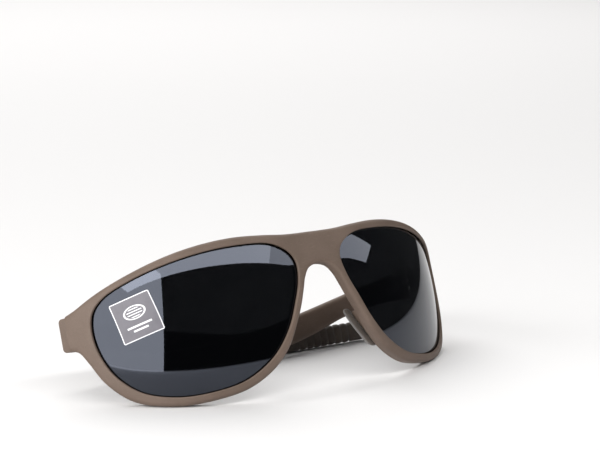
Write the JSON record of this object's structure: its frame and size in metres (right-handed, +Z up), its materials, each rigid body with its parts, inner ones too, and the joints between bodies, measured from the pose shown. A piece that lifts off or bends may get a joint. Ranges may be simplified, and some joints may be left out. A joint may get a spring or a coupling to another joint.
{
  "type": "wraparound sunglasses",
  "caption": "Full-rim wraparound sunglasses with curved grey lenses and folding temples, shown folded and standing on their lower rims.",
  "frame": {"origin": "middle of the bottom of the bounding box, on the surface that the folded pair stands on", "axes": "+Z up; +X across the front, from the wearer's right lens to the left one; -Y is the way the lenses face"},
  "size_m": [0.1364, 0.05, 0.0465],
  "materials": {
    "frame_nylon": "matte tan-brown moulded nylon",
    "lens": "polished dark grey polarised lens",
    "soft_rubber": "soft-touch rubber",
    "hinge_steel": "satin stainless steel",
    "label_film": "printed translucent film"
  },
  "bodies": {
    "front": {"front_frame": "frame_nylon", "lens_right": "lens", "nose_pad_right": "soft_rubber", "front_hinge_leaf_right": "hinge_steel", "hinge_screw_right": "hinge_steel", "front_leaf_screw_right_1": "hinge_steel", "front_leaf_screw_right_2": "hinge_steel", "lens_left": "lens", "nose_pad_left": "soft_rubber", "front_hinge_leaf_left": "hinge_steel", "hinge_screw_left": "hinge_steel", "front_leaf_screw_left_1": "hinge_steel", "front_leaf_screw_left_2": "hinge_steel", "lens_label_right": "label_film"},
    "temple_right": {"temple_arm_right": "frame_nylon", "temple_grip_right": "soft_rubber", "temple_hinge_leaf_right": "hinge_steel", "temple_leaf_screw_right_1": "hinge_steel", "temple_leaf_screw_right_2": "hinge_steel"},
    "temple_left": {"temple_arm_left": "frame_nylon", "temple_grip_left": "soft_rubber", "temple_hinge_leaf_left": "hinge_steel", "temple_leaf_screw_left_1": "hinge_steel", "temple_leaf_screw_left_2": "hinge_steel"}
  },
  "joints": [
    {"name": "temple_right_hinge", "type": "hinge", "parent": "front", "child": "temple_right", "pos_m": [-0.06295, 0.01555, 0.0184], "axis": [0, 0.309, 0.9511], "range_deg": [0, 86.8]},
    {"name": "temple_left_hinge", "type": "hinge", "parent": "front", "child": "temple_left", "pos_m": [0.06295, 0.01555, 0.0184], "axis": [0, -0.309, -0.9511], "range_deg": [0, 91.5]}
  ]
}
